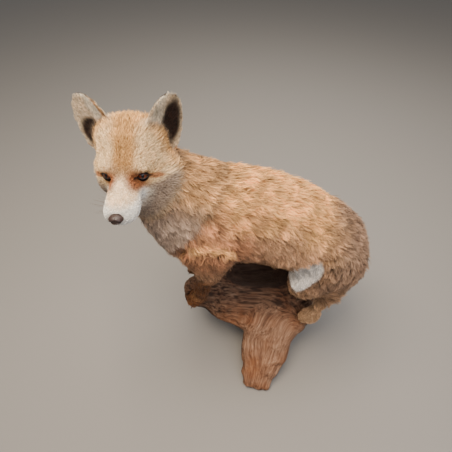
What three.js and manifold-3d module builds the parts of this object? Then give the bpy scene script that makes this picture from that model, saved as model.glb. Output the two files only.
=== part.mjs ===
import * as THREE from 'three';
import { mergeVertices } from 'three/addons/utils/BufferGeometryUtils.js';
import Module from 'manifold-3d';

// A red fox mounted on a piece of driftwood. Millimetres, +Z up.
// The trunk heads along -Y, the fox's left side is +X, and the head is turned to look along +X.

const wasm = await Module();
wasm.setup();

// ---- driving dimensions -------------------------------------------------------------

const gap = 0.35;                 // clearance between neighbouring pieces
const looseGap = 2.4;             // the same where both faces are faceted from a curved form
const sliver = 0.05;              // edges shorter than this are closed up
const wideGap = 6.5;              // the same under the legs and the tail, which have larger facets
const withersHeight = 545;
const eyeHeight = 588;
const eyeSpacing = 51;            // between the centres of the eyeballs
const eyeRadius = 10.5;
const ears = {                    // length from the root, which is sunk in the side of the head
  left: { length: 105, width: 66, base: [44, -52, 15], tip: [80, -60, 120], turn: 0.38 },
  right: { length: 97, width: 56, base: [-38, -54, 22], tip: [-70, -60, 114], turn: 0.05 },
};
const earThickness = 6;
const trunkWidth = 170;
const trunkDepth = 196;
const legSpacing = 12;            // from the middle plane to where a leg's own solid begins
const toeCount = 4;
const clawLength = 13;

// size of one cell of the mesh, for each kind of piece
const cell = { trunk: 36, neck: 31, head: 22, leg: 24, paw: 13.5, tail: 33, wood: 24, cut: 44, face: 10.6 };

const colors = {
  coat: 0xc0905e, face: 0xd9b07c, tail: 0xa8886a, leg: 0x8a5a30, ear: 0x9c7a58,
  eye: 0x3a1510, nose: 0x2c201c, claw: 0x4a3c30, wood: 0x8f6a4f,
};

// ---- distance fields ----------------------------------------------------------------
// A field is a function (x, y, z) => distance, negative inside.

const dot = (a, b) => a[0] * b[0] + a[1] * b[1] + a[2] * b[2];
const unit = (a) => {
  const n = Math.hypot(...a);
  return a.map((v) => v / n);
};
const cross = (a, b) => [
  a[1] * b[2] - a[2] * b[1],
  a[2] * b[0] - a[0] * b[2],
  a[0] * b[1] - a[1] * b[0],
];

function ellipsoid([cx, cy, cz], [rx, ry, rz]) {
  return (x, y, z) => {
    const px = (x - cx) / rx;
    const py = (y - cy) / ry;
    const pz = (z - cz) / rz;
    const k0 = Math.hypot(px, py, pz);
    const k1 = Math.hypot(px / rx, py / ry, pz / rz);
    return k1 < 1e-9 ? -Math.min(rx, ry, rz) : (k0 * (k0 - 1)) / k1;
  };
}

// a limb segment: a cone between two balls
function bone(a, b, ra, rb) {
  const ab = [b[0] - a[0], b[1] - a[1], b[2] - a[2]];
  const length2 = dot(ab, ab);
  return (x, y, z) => {
    const p = [x - a[0], y - a[1], z - a[2]];
    const t = Math.min(1, Math.max(0, dot(p, ab) / length2));
    const d = Math.hypot(p[0] - t * ab[0], p[1] - t * ab[1], p[2] - t * ab[2]);
    return d - (ra + (rb - ra) * t);
  };
}

function smoothMin(a, b, k) {
  const h = Math.max(k - Math.abs(a - b), 0) / k;
  return Math.min(a, b) - (h * h * k) / 4;
}

function blend(k, ...fields) {
  return (x, y, z) => {
    let d = fields[0](x, y, z);
    for (let i = 1; i < fields.length; i++) d = smoothMin(d, fields[i](x, y, z), k);
    return d;
  };
}

// the field of a shape drawn in an own frame at `origin` with three unit axes
function placed(field, origin, axes) {
  return (x, y, z) => {
    const p = [x - origin[0], y - origin[1], z - origin[2]];
    return field(dot(p, axes[0]), dot(p, axes[1]), dot(p, axes[2]));
  };
}

const grown = (field, by) => (x, y, z) => field(x, y, z) - by;

// ---- meshing ------------------------------------------------------------------------

// Surface nets: one vertex in each cell that the surface crosses, one quad for each crossed edge.
function netOf(field, low, high, size) {
  const n = [0, 1, 2].map((i) => Math.ceil((high[i] - low[i]) / size) + 1);
  const at = (i, j, k) => i + n[0] * (j + n[1] * k);
  const values = new Float32Array(n[0] * n[1] * n[2]);
  for (let k = 0; k < n[2]; k++)
    for (let j = 0; j < n[1]; j++)
      for (let i = 0; i < n[0]; i++)
        values[at(i, j, k)] = field(low[0] + i * size, low[1] + j * size, low[2] + k * size);

  const slope = (p) => {
    const e = 0.5;
    return unit([
      field(p[0] + e, p[1], p[2]) - field(p[0] - e, p[1], p[2]),
      field(p[0], p[1] + e, p[2]) - field(p[0], p[1] - e, p[2]),
      field(p[0], p[1], p[2] + e) - field(p[0], p[1], p[2] - e),
    ]);
  };

  const positions = [];
  const cellVertex = new Map();
  const corners = [0, 1, 2, 3, 4, 5, 6, 7].map((c) => [c & 1, (c >> 1) & 1, (c >> 2) & 1]);
  for (let k = 0; k < n[2] - 1; k++)
    for (let j = 0; j < n[1] - 1; j++)
      for (let i = 0; i < n[0] - 1; i++) {
        const v = corners.map((c) => values[at(i + c[0], j + c[1], k + c[2])]);
        const sum = [0, 0, 0];
        let count = 0;
        for (let a = 0; a < 8; a++)
          for (const bit of [1, 2, 4]) {
            if (a & bit) continue;
            const b = a | bit;
            if (v[a] < 0 === v[b] < 0) continue;
            const t = v[a] / (v[a] - v[b]);
            for (let m = 0; m < 3; m++) sum[m] += corners[a][m] + t * (corners[b][m] - corners[a][m]);
            count++;
          }
        if (!count) continue;
        let p = [i, j, k].map((c, m) => low[m] + (c + sum[m] / count) * size);
        for (let pass = 0; pass < 2; pass++) {
          const d = Math.max(-size / 3, Math.min(size / 3, field(...p)));
          p = p.map((c, m) => c - d * slope(p)[m]);
        }
        cellVertex.set(at(i, j, k), positions.length / 3);
        positions.push(...p);
      }

  const index = [];
  const steps = [[1, 0, 0], [0, 1, 0], [0, 0, 1]];
  for (let k = 1; k < n[2] - 1; k++)
    for (let j = 1; j < n[1] - 1; j++)
      for (let i = 1; i < n[0] - 1; i++)
        for (let m = 0; m < 3; m++) {
          const here = values[at(i, j, k)] < 0;
          const there = values[at(i + steps[m][0], j + steps[m][1], k + steps[m][2])] < 0;
          if (here === there) continue;
          const u = steps[(m + 1) % 3];
          const w = steps[(m + 2) % 3];
          const q = [[0, 0], [1, 0], [1, 1], [0, 1]].map(([s, t]) =>
            cellVertex.get(at(i - s * u[0] - t * w[0], j - s * u[1] - t * w[1], k - s * u[2] - t * w[2])));
          if (here) q.reverse();
          index.push(q[0], q[2], q[1], q[0], q[3], q[2]);
        }
  const geometry = new THREE.BufferGeometry();
  geometry.setAttribute('position', new THREE.Float32BufferAttribute(positions, 3));
  geometry.setIndex(index);
  return geometry;
}

function solidOf(geometry) {
  const clean = geometry.clone();
  clean.deleteAttribute('normal');
  clean.deleteAttribute('uv');
  const merged = mergeVertices(clean, 1e-3);
  return new wasm.Manifold(new wasm.Mesh({
    numProp: 3,
    vertProperties: new Float32Array(merged.attributes.position.array),
    triVerts: new Uint32Array(merged.index.array),
  }));
}

// Moves a geometry into a frame of left, forward and up axes. Such a frame is mirrored,
// so the faces are turned back to point out.
function putAt(geometry, origin, axes) {
  geometry.applyMatrix4(new THREE.Matrix4().makeBasis(...axes.map((a) => new THREE.Vector3(...a))));
  geometry.translate(...origin);
  const index = geometry.index.array;
  for (let i = 0; i < index.length; i += 3) [index[i], index[i + 1]] = [index[i + 1], index[i]];
  return geometry;
}

// Cutting leaves some edges shorter than a hair, and a few where four faces meet.
// The ends of such edges are merged, and the faces that lose their area go.
function geometryOf(solid) {
  const mesh = solid.getMesh();
  const geometry = new THREE.BufferGeometry();
  geometry.setAttribute('position', new THREE.BufferAttribute(new Float32Array(mesh.vertProperties), 3));
  geometry.setIndex(new THREE.BufferAttribute(new Uint32Array(mesh.triVerts), 1));
  const merged = mergeVertices(geometry, sliver);
  let corners = [...merged.index.array];
  for (let pass = 0; pass < 6; pass++) {
    corners = withoutCollapsed(corners);
    const crowded = crowdedEdges(corners);
    if (!crowded.length) break;
    const [from, to] = crowded[0];
    corners = corners.map((v) => (v === from ? to : v));
  }
  merged.setIndex(corners);
  return merged;
}

function withoutCollapsed(corners) {
  const kept = [];
  for (let i = 0; i < corners.length; i += 3) {
    const [a, b, c] = corners.slice(i, i + 3);
    if (a !== b && b !== c && c !== a) kept.push(a, b, c);
  }
  return kept;
}

// the edges that have more than two faces on them
function crowdedEdges(corners) {
  const uses = new Map();
  for (let i = 0; i < corners.length; i += 3)
    for (const [a, b] of [[0, 1], [1, 2], [2, 0]]) {
      const key = Math.min(corners[i + a], corners[i + b]) * 1e6 + Math.max(corners[i + a], corners[i + b]);
      uses.set(key, (uses.get(key) ?? 0) + 1);
    }
  return [...uses].filter(([, n]) => n !== 2).map(([key]) => [Math.floor(key / 1e6), key % 1e6]);
}

// A net pinches where two sheets share a cell, and a small move of the grid undoes that.
// The cleanest net is taken: a last pinch may lie in a part that is cut away.
function solidIn(field, low, high, size) {
  let best = null;
  for (const move of [0, 0.37, 0.71, 0.19, 0.53, 0.87]) {
    const net = netOf(field, low.map((v) => v - move * size), high, size);
    const count = crowdedEdges(net.index.array).length;
    if (best && count >= best.count) continue;
    try {
      best = { count, solid: solidOf(net) };
    } catch (error) {
      if (error.code !== 'NotManifold') throw error;
    }
    if (best && best.count === 0) break;
  }
  return best.solid;
}

// the half of space on the far side of `point` along `normal`, as a large block
function halfSpace(point, normal) {
  const reach = 900;
  const block = new THREE.BoxGeometry(reach, reach, reach);
  const turn = new THREE.Quaternion().setFromUnitVectors(
    new THREE.Vector3(0, 0, 1), new THREE.Vector3(...unit(normal)));
  block.translate(0, 0, reach / 2);
  block.applyQuaternion(turn);
  block.translate(...point);
  return solidOf(block);
}

// ---- the head -----------------------------------------------------------------------

const headOrigin = [40, -250, eyeHeight];
const headForward = unit([0.986, -0.01, 0.165]);
const headLeft = unit(cross([0, 0, 1], headForward));
const headUp = cross(headForward, headLeft);
const headAxes = [headLeft, headForward, headUp];

// a point of the head, given to its left, forward and up
const onHead = ([l, f, u]) => [0, 1, 2].map((i) =>
  headOrigin[i] + l * headLeft[i] + f * headForward[i] + u * headUp[i]);

const sides = [['left', 1], ['right', -1]];

// shallow sockets are pressed in beside the bridge of the nose
const sockets = sides.map(([, s]) => ellipsoid([s * 30, 13, 6], [14, 13, 10]));
const headForm = blend(15,
  ellipsoid([0, -59, 25], [51, 57, 50]),
  ellipsoid([0, -24, 22], [41, 38, 24]),
  bone([0, 6, -7], [1, 62, -21], 27, 18.5),
  bone([0, -20, -32], [0, 54, -35], 22, 10),
  ...sides.flatMap(([, s]) => [
    ellipsoid([s * 33, -38, -12], [27, 40, 33]),
    ellipsoid([s * 22, 0, 21], [17, 13, 9]),
    ellipsoid([s * 13 + 2, 49, -22], [14, 24, 14]),
    ellipsoid([s * 29, -60, 43], [24, 36, 26]),
  ]),
);
const headField = placed((l, f, u) => {
  const socket = Math.min(...sockets.map((field) => field(l, f, u)));
  return -smoothMin(-headForm(l, f, u), socket, 6);
}, headOrigin, headAxes);

const eyeCenter = (s) => onHead([s * eyeSpacing / 2, -4, 6.5]);
const eyeSolid = (s, radius) => {
  const ball = new THREE.SphereGeometry(radius, 11, 7);
  ball.translate(...eyeCenter(s));
  return solidOf(ball);
};

const noseSolid = (grow) => {
  const pad = new THREE.SphereGeometry(1, 11, 7);
  pad.scale(11 + grow, 9 + grow, 8 + grow);
  pad.translate(0, 79, -20);
  return solidOf(putAt(pad, headOrigin, headAxes));
};

// An ear is a cupped leaf: rows run from the base to the tip, and each row is an arc.
function earSolid(side, grow) {
  const rows = 7;
  const columns = 6;
  const { length, width: earWidth, base, tip, turn } = ears[side > 0 ? 'left' : 'right'];
  const along = unit(tip.map((v, i) => v - base[i]));
  const opening = unit([turn, 0.92, 0]);
  const across = unit(cross(opening, along));
  const outward = cross(along, across);
  const ring = (t, thickness) => {
    const points = [];
    const width = (earWidth / 2 + grow) * Math.sqrt(Math.max(0, 1 - t ** 6)) * (1.12 - 0.4 * t)
      * (0.62 + 0.38 * Math.min(1, t / 0.3));
    const cup = 17 * (1 - 0.55 * t);
    for (let c = 0; c <= columns; c++) {
      const a = (c / columns - 0.5) * Math.PI * 0.92;
      const sideways = Math.sin(a) / Math.sin(Math.PI * 0.46) * width;
      const depth = -cup * Math.cos(a) * (width / (earWidth / 2)) + thickness;
      points.push(base.map((v, i) =>
        v + along[i] * t * (length + grow) + across[i] * sideways + outward[i] * depth));
    }
    return points;
  };
  const positions = [];
  const index = [];
  const layers = [earThickness / 2 + grow, -earThickness / 2 - grow].map((thickness) => {
    const start = positions.length / 3;
    for (let r = 0; r <= rows; r++) {
      const t = 0.985 * Math.sin((r / rows) * Math.PI / 2);
      for (const p of ring(t, thickness * (1 - 0.45 * t))) positions.push(...onHead(p));
    }
    return (r, c) => start + r * (columns + 1) + c;
  });
  const quad = (a, b, c, d) => index.push(a, b, c, a, c, d);
  const [front, back] = layers;
  for (let r = 0; r < rows; r++)
    for (let c = 0; c < columns; c++) {
      quad(front(r, c), front(r, c + 1), front(r + 1, c + 1), front(r + 1, c));
      quad(back(r, c), back(r + 1, c), back(r + 1, c + 1), back(r, c + 1));
    }
  for (let r = 0; r < rows; r++) {
    quad(front(r, 0), front(r + 1, 0), back(r + 1, 0), back(r, 0));
    quad(front(r, columns), back(r, columns), back(r + 1, columns), front(r + 1, columns));
  }
  for (let c = 0; c < columns; c++) {
    quad(front(0, c), back(0, c), back(0, c + 1), front(0, c + 1));
    quad(front(rows, c), front(rows, c + 1), back(rows, c + 1), back(rows, c));
  }
  const geometry = new THREE.BufferGeometry();
  geometry.setAttribute('position', new THREE.Float32BufferAttribute(positions, 3));
  geometry.setIndex(index);
  const solid = solidOf(geometry);
  if (solid.volume() > 0) return solid;
  for (let i = 0; i < index.length; i += 3) [index[i], index[i + 1]] = [index[i + 1], index[i]];
  geometry.setIndex(index);
  return solidOf(geometry);
}

// ---- the body -----------------------------------------------------------------------

const spineX = -14;
const neckField = blend(36,
  bone(onHead([4, -68, -10]), [-24, -162, 492], 52, 78),
  bone(onHead([6, -50, -26]), [0, -182, 430], 44, 60),
);

const trunkField = blend(45,
  ellipsoid([spineX - 6, -104, withersHeight - trunkDepth / 2], [trunkWidth / 2, 98, trunkDepth / 2]),
  ellipsoid([spineX, -28, 446], [trunkWidth / 2, 108, trunkDepth / 2]),
  ellipsoid([spineX + 6, -140, 388], [64, 56, 62]),
  ellipsoid([spineX + 12, 60, 418], [82, 96, 88]),
  ellipsoid([spineX + 18, 130, 372], [80, 76, 82]),
  ellipsoid([spineX + 46, 158, 300], [40, 36, 44]),
);

const foreJoints = {
  left: { shoulder: [34, -122, 416], elbow: [38, -126, 330], wrist: [34, -146, 240], foot: [28, -150, 198] },
  right: { shoulder: [-62, -122, 416], elbow: [-66, -122, 330], wrist: [-62, -146, 244], foot: [-56, -152, 206] },
};
const hindJoints = {
  left: { hip: [34, 130, 362], knee: [54, 80, 304], hock: [44, 152, 254], foot: [64, 128, 182] },
  right: { hip: [-30, 130, 362], knee: [-54, 84, 300], hock: [-52, 152, 240], foot: [-62, 126, 196] },
};

const foreField = ({ shoulder, elbow, wrist, foot }) => blend(24,
  bone(shoulder, elbow, 54, 32),
  bone(elbow, wrist, 30, 18),
  bone(wrist, foot, 17, 15),
);
const hindField = ({ hip, knee, hock, foot }) => blend(22,
  bone(hip, knee, 68, 37),
  bone(knee, hock, 34, 23),
  bone(hock, foot, 19, 15),
);

const legFields = {};
const legRegions = {};
for (const [side, s] of sides) {
  const fore = foreJoints[side];
  const hind = hindJoints[side];
  legFields[`fore_${side}`] = foreField(fore);
  legFields[`hind_${side}`] = hindField(hind);
  const outside = ([x, y, z], by) => [x + s * by, y, z];
  legRegions[`fore_${side}`] = blend(24,
    bone(outside(fore.shoulder, 30), outside(fore.elbow, 12), 56, 50),
    bone(outside(fore.elbow, 12), fore.foot, 50, 46));
  legRegions[`hind_${side}`] = blend(24,
    bone(outside(hind.hip, 40), outside(hind.knee, 14), 72, 58),
    bone(outside(hind.knee, 14), hind.hock, 58, 50),
    bone(hind.hock, hind.foot, 50, 46));
}

const bodyField = blend(26,
  blend(34, trunkField, neckField),
  blend(16, ...Object.values(legFields)),
  headField);

const tailPath = [
  [-12, 176, 384], [-36, 200, 330], [-66, 204, 272], [-100, 180, 228],
  [-122, 114, 210], [-130, 34, 210], [-124, -36, 210],
];
const tailRadius = [26, 32, 36, 39, 39, 33, 12];
const tailField = blend(22, ...tailPath.slice(1).map((p, i) =>
  bone(tailPath[i], p, tailRadius[i], tailRadius[i + 1])));

// ---- the paws -----------------------------------------------------------------------

// each paw: where it stands, the way its toes point and the way its back faces
const paws = {
  fore_left: { at: [27, -152, 190], toes: [0.22, -0.9, -0.36], top: [0.1, -0.3, 1] },
  fore_right: { at: [-56, -154, 198], toes: [-0.1, -0.97, -0.2], top: [0, -0.2, 1] },
  hind_left: { at: [66, 124, 174], toes: [0.3, -0.78, -0.55], top: [0.55, -0.3, 0.8] },
  hind_right: { at: [-62, 120, 188], toes: [-0.1, -0.97, -0.12], top: [0, -0.1, 1] },
};

function pawAxes({ toes, top }) {
  const forward = unit(toes);
  const left = unit(cross(top, forward));
  return [left, forward, cross(forward, left)];
}

// toe `i` from -1.5 to 1.5 across the paw: its root and its tip in the paw's frame
const toeOf = (i) => ({ root: [i * 8, 12, 2], tip: [i * 9.4, 33 - 4 * Math.abs(i), -3] });
const toeNumbers = Array.from({ length: toeCount }, (_, i) => i - (toeCount - 1) / 2);

const pawField = (paw) => placed(blend(9,
  ellipsoid([0, 3, 1], [19, 23, 13]),
  ...toeNumbers.map((i) => bone(toeOf(i).root, toeOf(i).tip, 8.6, 7.4)),
), paw.at, pawAxes(paw));

function clawWay(i) {
  const { root, tip } = toeOf(i);
  return unit([tip[0] - root[0], tip[1] - root[1], tip[2] - root[2] - 7]);
}

// a paw with its claws, a little larger than life: the room that it needs in the wood
function clawedPaw(paw) {
  const claws = toeNumbers.map((i) => {
    const { tip } = toeOf(i);
    return bone(tip, tip.map((v, m) => v + clawWay(i)[m] * (4 + clawLength)), 6, 4);
  });
  const field = blend(6, pawField(paw), placed(blend(4, ...claws), paw.at, pawAxes(paw)));
  return solidIn(grown(field, looseGap), pawLow(paw), pawHigh(paw), cell.paw);
}

function clawSolid(paw, i, grow) {
  const { tip } = toeOf(i);
  const way = clawWay(i);
  const cone = new THREE.ConeGeometry(2.3 + grow, clawLength + 2 * grow, 7);
  cone.applyQuaternion(new THREE.Quaternion().setFromUnitVectors(
    new THREE.Vector3(0, 1, 0), new THREE.Vector3(...way)));
  cone.translate(...tip.map((v, m) => v + way[m] * (4 + clawLength / 2)));
  return solidOf(putAt(cone, paw.at, pawAxes(paw)));
}

// ---- the driftwood ------------------------------------------------------------------

const grainWave = 6;
const woodGrain = (x, y, z) => {
  const across = 0.55 * z - 0.35 * x + 0.08 * y;
  return grainWave * 0.5 * Math.sin(across / 9 + 1.3 * Math.sin(y / 55)) +
    grainWave * 0.6 * Math.sin(x / 21 + 1.7) * Math.sin(y / 27 + z / 33);
};

const log = blend(26,
  ellipsoid([-4, -176, 160], [38, 28, 28]),
  bone([-2, -160, 152], [0, -90, 130], 28, 38),
  bone([0, -90, 130], [12, 40, 112], 40, 48),
  bone([12, 40, 112], [46, 96, 112], 46, 31),
  ellipsoid([6, 108, 128], [40, 32, 38]),
  ellipsoid([-52, -10, 98], [60, 110, 32]),
  ellipsoid([20, -18, 120], [60, 116, 34]),
  ellipsoid([-60, 118, 136], [42, 46, 42]),
  ellipsoid([-54, -130, 150], [36, 44, 40]),
);
const backRidge = bone([-104, -66, 128], [-112, 70, 128], 32, 36);
const roots = [
  [[-44, -100, 110], [-104, -140, 46], 34, 25],
  [[-104, -140, 46], [-132, -160, -4], 25, 18],
  [[-50, 80, 104], [-112, 128, 46], 38, 26],
  [[-112, 128, 46], [-138, 146, -4], 26, 18],
].map(([a, b, ra, rb]) => bone(a, b, ra, rb));
const prong = blend(12,
  bone([52, -6, 106], [110, -26, 62], 34, 24),
  bone([110, -26, 62], [188, -38, 4], 26, 14),
  bone([60, 60, 106], [120, 36, 60], 40, 30),
  bone([120, 36, 60], [190, 6, 6], 30, 16),
  bone([54, 26, 106], [172, -12, 22], 34, 18),
  bone([112, 54, 44], [138, 52, 14], 8, 5),
);
const hollow = ellipsoid([-58, -14, 178], [30, 84, 50]);

const woodShape = blend(24, log, backRidge, ...roots, prong);
const woodField = (x, y, z) =>
  Math.max(woodShape(x, y, z) + woodGrain(x, y, z) * 0.6, -hollow(x, y, z));

// ---- assembling ---------------------------------------------------------------------

const model = new THREE.Group();

function addPiece(name, solid, color, roughness = 0.9) {
  const material = new THREE.MeshStandardMaterial({ color, roughness, metalness: 0 });
  const mesh = new THREE.Mesh(geometryOf(solid), material);
  mesh.name = name;
  model.add(mesh);
}

const bodyLow = [-160, -400, 110];
const bodyHigh = [200, 280, 720];
const bodyAt = (size, grow = 0) => solidIn(grown(bodyField, grow), bodyLow, bodyHigh, size);
// the space that a leg takes out of the body, kept to its own side of the middle
const regionAt = (name, grow) => {
  const s = name.endsWith('left') ? 1 : -1;
  const own = halfSpace([spineX + s * (legSpacing - grow), 0, 0], [s, 0, 0]);
  return solidIn(grown(legRegions[name], grow), bodyLow, bodyHigh, cell.cut).intersect(own);
};
const pawLow = (paw) => paw.at.map((v) => v - 70);
const pawHigh = (paw) => paw.at.map((v) => v + 70);

// planes that part the head from the neck and the neck from the trunk: a point and the way forward
const headCut = { at: [4, -216, 543], way: unit([0.47, -0.53, 0.71]) };
const neckCut = { at: [-15, -158, 478], way: unit([0, -0.78, 0.62]) };
const sideOf = ({ at, way }, forward) => {
  const shift = forward ? gap / 2 : -gap / 2;
  return halfSpace(at.map((v, i) => v + shift * way[i]), way.map((v) => (forward ? v : -v)));
};

// claws and paws
const pawSolids = {};
for (const [name, paw] of Object.entries(paws)) {
  let solid = solidIn(pawField(paw), pawLow(paw), pawHigh(paw), cell.paw);
  for (const i of toeNumbers) solid = solid.subtract(clawSolid(paw, i, gap));
  pawSolids[name] = solid;
  toeNumbers.forEach((i, n) => addPiece(`claw_${name}_${n + 1}`, clawSolid(paw, i, 0), colors.claw, 0.5));
  paw.grown = solidIn(grown(pawField(paw), looseGap), pawLow(paw), pawHigh(paw), cell.paw);
}

// legs
for (const name of Object.keys(legFields)) {
  const leg = bodyAt(cell.leg).intersect(regionAt(name, 0)).subtract(paws[name].grown);
  addPiece(`${name.replace('_', '_leg_')}`, leg, colors.leg);
  addPiece(`${name.replace('_', '_paw_')}`, pawSolids[name], colors.leg);
}

// trunk, neck and tail
let trunk = bodyAt(cell.trunk).intersect(sideOf(neckCut, false));
for (const name of Object.keys(legRegions)) trunk = trunk.subtract(regionAt(name, looseGap).add(regionAt(name, 0)));
addPiece('trunk', trunk, colors.coat);

let neck = bodyAt(cell.neck).intersect(sideOf(neckCut, true)).intersect(sideOf(headCut, false));
for (const [, s] of sides) neck = neck.subtract(earSolid(s, looseGap).add(earSolid(s, 0)));
addPiece('neck', neck, colors.coat);

const tailLow = [-200, -80, 120];
const tailHigh = [80, 300, 480];
const tail = solidIn(tailField, tailLow, tailHigh, cell.tail).subtract(bodyAt(cell.leg, wideGap));
addPiece('tail', tail, colors.tail);

// head, eyes, nose and ears
// the face has the finer mesh, from just behind the eyes to the nose
const cheekLine = -16;
const backward = headForward.map((v) => -v);
const skull = bodyAt(cell.head).intersect(halfSpace(onHead([0, cheekLine + 1, 0]), backward));
const face = bodyAt(cell.face).intersect(halfSpace(onHead([0, cheekLine, 0]), headForward));
let head = skull.add(face).intersect(sideOf(headCut, true)).subtract(noseSolid(gap));
for (const [side, s] of sides) {
  head = head.subtract(eyeSolid(s, eyeRadius + gap)).subtract(earSolid(s, looseGap).add(earSolid(s, 0)));
  addPiece(`eye_${side}`, eyeSolid(s, eyeRadius), colors.eye, 0.1);
  addPiece(`ear_${side}`, earSolid(s, 0), colors.ear);
}
addPiece('head', head, colors.face);
addPiece('nose', noseSolid(0), colors.nose, 0.4);

// driftwood, flat where it meets the floor and hollowed where the fox touches it
let wood = solidIn(woodField, [-200, -260, -40], [240, 220, 230], cell.wood)
  .intersect(halfSpace([0, 0, 0], [0, 0, 1]));
for (const paw of Object.values(paws)) {
  wood = wood.subtract(clawedPaw(paw));
  for (const i of toeNumbers) wood = wood.subtract(clawSolid(paw, i, 2 * gap));
}
wood = wood.subtract(bodyAt(cell.leg, wideGap))
  .subtract(solidIn(grown(tailField, wideGap), tailLow, tailHigh, cell.tail));
addPiece('driftwood', wood, colors.wood);

// the frame's origin is the middle of the footprint, at floor level
const box = new THREE.Box3().setFromObject(model);
const middle = box.getCenter(new THREE.Vector3());
model.position.set(-middle.x, -middle.y, -box.min.z);

export default model;
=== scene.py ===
import math

import bmesh
import bpy
import numpy as np
from mathutils import Matrix, Vector, noise
from mathutils.bvhtree import BVHTree
from mathutils.kdtree import KDTree
from numpy.linalg import norm


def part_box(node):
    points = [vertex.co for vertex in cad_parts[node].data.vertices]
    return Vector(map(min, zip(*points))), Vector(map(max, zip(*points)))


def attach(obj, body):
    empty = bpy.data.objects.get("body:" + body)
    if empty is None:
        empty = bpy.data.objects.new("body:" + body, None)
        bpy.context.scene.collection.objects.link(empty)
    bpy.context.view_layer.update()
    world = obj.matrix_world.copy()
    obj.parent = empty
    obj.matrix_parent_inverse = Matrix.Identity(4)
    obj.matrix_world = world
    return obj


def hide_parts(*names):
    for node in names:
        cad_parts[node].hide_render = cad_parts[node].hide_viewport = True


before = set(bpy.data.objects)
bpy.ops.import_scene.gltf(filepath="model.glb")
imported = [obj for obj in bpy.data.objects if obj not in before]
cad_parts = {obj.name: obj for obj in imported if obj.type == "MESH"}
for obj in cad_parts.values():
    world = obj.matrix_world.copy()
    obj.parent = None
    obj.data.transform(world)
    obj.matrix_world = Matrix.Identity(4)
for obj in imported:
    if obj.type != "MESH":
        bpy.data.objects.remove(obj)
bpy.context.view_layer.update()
mm = 0.001


# ---- small helpers

def linearOf(hexColour):
    parts = [int(hexColour[i:i + 2], 16) / 255 for i in (1, 3, 5)]
    return np.array([c / 12.92 if c <= 0.04045 else ((c + 0.055) / 1.055) ** 2.4 for c in parts])


def rgba(hexColour):
    return (*linearOf(hexColour), 1.0)


def unit(v):
    v = np.asarray(v, float)
    return v / np.maximum(norm(v, axis=-1, keepdims=True), 1e-12)


def smooth(low, high, value):
    t = np.clip((np.asarray(value, float) - low) / (high - low), 0, 1)
    return t * t * (3 - 2 * t)


def oval(a, b, spot, size):  # 1 at its edge
    return np.hypot((a - spot[0]) / size[0], (b - spot[1]) / size[1])


def waves(points, size, seed, octaves=5):
    maker = np.random.default_rng(seed)
    total = np.zeros(len(points))
    for _ in range(octaves):
        way = unit(maker.normal(size=3)) * (2 * math.pi / size) * maker.uniform(0.6, 1.7)
        bend = unit(maker.normal(size=3)) * (2 * math.pi / size) * 0.7
        total += np.sin(points @ way + 1.6 * np.sin(points @ bend + maker.uniform(0, 6)) + maker.uniform(0, 6))
    return total / octaves * 1.4


def addNode(tree, kind, settings=None, links=None):
    node = tree.nodes.new("ShaderNode" + kind)
    for key, value in (settings or {}).items():
        if isinstance(key, str) and hasattr(node, key):
            setattr(node, key, value)
        else:
            node.inputs[key].default_value = value
    for key, source in (links or {}).items():  # a node stands for its first output
        tree.links.new(source.outputs[0] if hasattr(source, "outputs") else source, node.inputs[key])
    return node


def newMaterial(name):
    material = bpy.data.materials.new(name)
    material.use_nodes = True
    material.node_tree.nodes.clear()
    return material, material.node_tree


def finished(material, settings, links):
    shader = addNode(material.node_tree, "BsdfPrincipled", settings, links)
    addNode(material.node_tree, "OutputMaterial", None, {"Surface": shader})
    return material


def placeOf(tree):
    return addNode(tree, "TexCoord").outputs["Object"]


def noiseOf(tree, settings, place):
    return addNode(tree, "TexNoise", settings, {"Vector": place})


def mixed(tree, share, first, second, settings=None):  # each colour is a hex text or a socket
    pair = {6: first, 7: second}
    fixed = {i: rgba(c) for i, c in pair.items() if isinstance(c, str)}
    linked = {i: c for i, c in pair.items() if not isinstance(c, str)}
    node = addNode(tree, "Mix", {"data_type": "RGBA", **(settings or {}), **fixed}, {0: share, **linked})
    return node.outputs[2]


def vectorMath(tree, operation, source, by=None):
    node = addNode(tree, "VectorMath", {"operation": operation, **({1: by} if by else {})}, {0: source})
    return node.outputs["Value" if operation in ("DOT_PRODUCT", "LENGTH") else "Vector"]


def bumpOf(tree, height, strength, distance):
    return addNode(tree, "Bump", {"Strength": strength, "Distance": distance}, {"Height": height})


def rampOf(tree, share, stops):
    node = addNode(tree, "ValToRGB", None, {0: share})
    while len(node.color_ramp.elements) < len(stops):
        node.color_ramp.elements.new(0.5)
    for element, (at, colour) in zip(node.color_ramp.elements, stops):
        element.position, element.color = at, rgba(colour)
    return node.outputs[0]


def twoTone(name, scale, detail, roughness, dark, pale):
    material, tree = newMaterial(name)
    grain = noiseOf(tree, {"Scale": scale, "Detail": detail}, placeOf(tree))
    return finished(material, {"Roughness": roughness}, {"Base Color": mixed(tree, grain, dark, pale)})


def meshOf(shape, name):
    mesh = bpy.data.meshes.new(name)
    shape.to_mesh(mesh)
    shape.free()
    return mesh


def placedMesh(shape, name, axes, spot, scale=1.0):
    turn = Matrix([Vector(axis) for axis in axes]).transposed().to_4x4()
    matrix = Matrix.Translation(Vector(spot)) @ turn @ Matrix.Scale(scale, 4)
    bmesh.ops.transform(shape, matrix=matrix, verts=shape.verts)
    bmesh.ops.recalc_face_normals(shape, faces=shape.faces)
    return meshOf(shape, name)


def evaluatedMesh(thing):
    view = bpy.context.evaluated_depsgraph_get()
    mesh = bpy.data.meshes.new_from_object(thing.evaluated_get(view))
    bpy.data.objects.remove(thing)
    return mesh


def newObject(name, data):
    thing = bpy.data.objects.new(name, data)
    bpy.context.scene.collection.objects.link(thing)
    return thing


def newPiece(name, mesh, material, replaced=()):
    mesh.shade_smooth()
    mesh.materials.clear()
    mesh.materials.append(material)
    piece = newObject(name, mesh)
    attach(piece, "root")
    if replaced:
        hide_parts(*replaced)


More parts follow.
